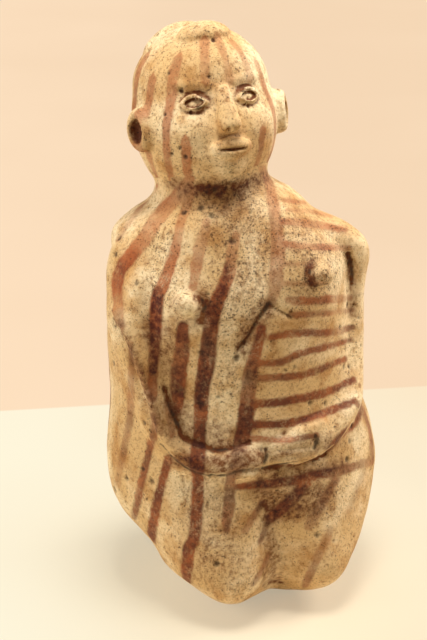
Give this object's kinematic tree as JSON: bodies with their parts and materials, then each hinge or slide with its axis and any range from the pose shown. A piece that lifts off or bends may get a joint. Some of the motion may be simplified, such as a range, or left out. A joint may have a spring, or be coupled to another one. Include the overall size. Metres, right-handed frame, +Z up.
{
  "type": "hooded water bottle",
  "caption": "Hand-built clay water bottle in the form of a kneeling figure, filled and poured through a round mouth at the back of its hollow head.",
  "frame": {"origin": "middle of the flat patch under the body, on the surface that the bottle stands on", "axes": "+Z up, -Y the way the figure faces, +X to the figure's left"},
  "size_m": [0.1202, 0.1083, 0.2412],
  "materials": {
    "wall_slip": "matt cream slip over low-fired clay, brushed, with red-ochre stripes",
    "limb_slip": "matt cream slip over low-fired clay, with red-ochre stripes",
    "face_slip": "matt cream slip over low-fired clay, rubbed on its high places",
    "rim_clay": "matt low-fired clay with its slip worn off by use"
  },
  "bodies": {
    "root": {"body_wall": "wall_slip", "neck_collar": "wall_slip", "head_hood": "wall_slip", "right_arm": "limb_slip", "left_arm": "limb_slip", "right_hand": "limb_slip", "left_hand": "limb_slip", "right_foot": "limb_slip", "left_foot": "limb_slip", "right_nipple": "face_slip", "left_nipple": "face_slip", "hair_knot": "face_slip", "nose": "face_slip", "upper_lip": "face_slip", "lower_lip": "face_slip", "right_eye": "face_slip", "left_eye": "face_slip", "right_ear": "face_slip", "left_ear": "face_slip", "mouth_rim": "rim_clay"}
  },
  "joints": []
}
